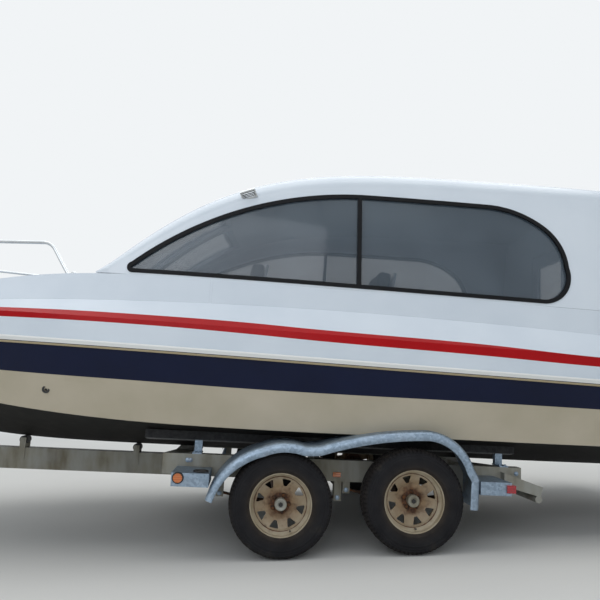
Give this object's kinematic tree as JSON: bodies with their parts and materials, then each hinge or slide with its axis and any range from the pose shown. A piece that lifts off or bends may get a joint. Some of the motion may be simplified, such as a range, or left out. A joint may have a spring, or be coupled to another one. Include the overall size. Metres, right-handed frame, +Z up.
{
  "type": "cabin speedboat on a twin-axle trailer",
  "caption": "Cabin speedboat with a tilting outboard, strapped down on a galvanised twin-axle trailer that stands on its jack.",
  "frame": {"origin": "on the ground below the middle of the whole outline", "axes": "+X towards the bow and the trailer's coupler, +Y to port, +Z up"},
  "size_m": [9.2428, 2.4762, 2.5734],
  "materials": {
    "gelcoat_white": "gloss",
    "gelcoat_hull": "gloss",
    "rail_white": "satin",
    "tinted_glass": "polished",
    "window_rubber": "matte",
    "stainless": "polished",
    "galvanised": "weathered zinc",
    "rusty_steel": "rusted",
    "rim_cream": "weathered",
    "tyre_black": "dusty",
    "roller_rubber": "matte",
    "bunk_carpet": "woven",
    "seat_vinyl": "satin",
    "moulded_black": "satin",
    "motor_paint": "gloss",
    "lamp_amber": "gloss",
    "lamp_red": "gloss",
    "cast_alloy": "satin"
  },
  "bodies": {
    "boat_and_trailer": {"axles": "rusty_steel", "bow_eye": "stainless", "bow_rail": "stainless", "bulkhead": "gelcoat_white", "bunk_posts": "galvanised", "bunks": "bunk_carpet", "cabin_side_port": "gelcoat_white", "cabin_side_starboard": "gelcoat_white", "cleats": "stainless", "coupler": "galvanised", "cross_members": "galvanised", "dash": "gelcoat_white", "deck": "gelcoat_white", "fenders": "galvanised", "foredeck": "gelcoat_white", "hatch_curb": "cast_alloy", "hull": "gelcoat_hull", "jack_tube": "galvanised", "keel_rollers": "roller_rubber", "motor_clamp": "motor_paint", "outlets": "moulded_black", "roof": "gelcoat_white", "rub_rails": "rail_white", "screen_sill": "gelcoat_white", "seat_backs": "seat_vinyl", "seat_bases": "seat_vinyl", "seat_frames": "moulded_black", "side_glass": "tinted_glass", "side_lamps": "lamp_amber", "side_rails": "galvanised", "spine": "galvanised", "spring_hangers": "galvanised", "springs": "rusty_steel", "steering_column": "moulded_black", "steps": "galvanised", "tail_frame": "rusty_steel", "tail_lamps": "lamp_red", "vents": "cast_alloy", "winch": "galvanised", "winch_post": "galvanised", "window_frames": "window_rubber", "windscreen_frame": "gelcoat_white", "windscreen_glass": "tinted_glass"},
    "wheel_fore_port": {"tyre_fore_port": "tyre_black", "rim_fore_port": "rim_cream"},
    "wheel_fore_starboard": {"tyre_fore_starboard": "tyre_black", "rim_fore_starboard": "rim_cream"},
    "wheel_aft_port": {"tyre_aft_port": "tyre_black", "rim_aft_port": "rim_cream"},
    "wheel_aft_starboard": {"tyre_aft_starboard": "tyre_black", "rim_aft_starboard": "rim_cream"},
    "motor_bracket": {"motor_swivel": "motor_paint"},
    "motor": {"motor_leg": "motor_paint", "motor_cowl": "motor_paint"},
    "propeller": {"propeller": "cast_alloy"},
    "steering_wheel": {"steering_wheel": "moulded_black"},
    "cabin_door": {"cabin_door": "gelcoat_white", "door_glass": "tinted_glass"},
    "hatch_lid": {"hatch_lid": "tinted_glass"},
    "jack_leg": {"jack_leg": "galvanised"}
  },
  "joints": [
    {"name": "wheel_fore_port_spin", "type": "hinge", "parent": "boat_and_trailer", "child": "wheel_fore_port", "pos_m": [-0.26272, 1.0875, 0.32], "axis": [0, 1, 0], "continuous": true},
    {"name": "wheel_fore_starboard_spin", "type": "hinge", "parent": "boat_and_trailer", "child": "wheel_fore_starboard", "pos_m": [-0.26272, -1.0875, 0.32], "axis": [0, 1, 0], "continuous": true},
    {"name": "wheel_aft_port_spin", "type": "hinge", "parent": "boat_and_trailer", "child": "wheel_aft_port", "pos_m": [-1.09072, 1.0875, 0.32], "axis": [0, 1, 0], "continuous": true},
    {"name": "wheel_aft_starboard_spin", "type": "hinge", "parent": "boat_and_trailer", "child": "wheel_aft_starboard", "pos_m": [-1.09072, -1.0875, 0.32], "axis": [0, 1, 0], "continuous": true},
    {"name": "outboard_tilt", "type": "hinge", "parent": "boat_and_trailer", "child": "motor_bracket", "pos_m": [-3.61865, 0, 0.95719], "axis": [0, 1, 0], "range_deg": [-50, 12]},
    {"name": "outboard_steer", "type": "hinge", "parent": "motor_bracket", "child": "motor", "pos_m": [-3.75237, 0, 0.90198], "axis": [0.7254, 0, 0.6884], "range_deg": [-30, 30]},
    {"name": "propeller_spin", "type": "hinge", "parent": "motor", "child": "propeller", "pos_m": [-4.51877, 0, 0.69994], "axis": [0.6884, 0, -0.7254], "continuous": true},
    {"name": "steering_wheel_turn", "type": "hinge", "parent": "boat_and_trailer", "child": "steering_wheel", "pos_m": [0.54608, -0.43, 1.54754], "axis": [-0.91, 0, 0.4147], "range_deg": [-540, 540]},
    {"name": "cabin_door_hinge", "type": "hinge", "parent": "boat_and_trailer", "child": "cabin_door", "pos_m": [-2.67274, 0.2975, 1.38072], "axis": [-0.061, 0, 0.9981], "range_deg": [-105, 0]},
    {"name": "foredeck_hatch_hinge", "type": "hinge", "parent": "boat_and_trailer", "child": "hatch_lid", "pos_m": [2.00547, 0, 1.81548], "axis": [0, 1, 0], "range_deg": [0, 75]},
    {"name": "jack_slide", "type": "slide", "parent": "boat_and_trailer", "child": "jack_leg", "axis": [-0.061, 0, 0.9981], "range_m": [0, 0.25]}
  ],
  "couplings": [
    {"joint": "steering_wheel_turn", "follows": "outboard_steer", "ratio": 18}
  ]
}
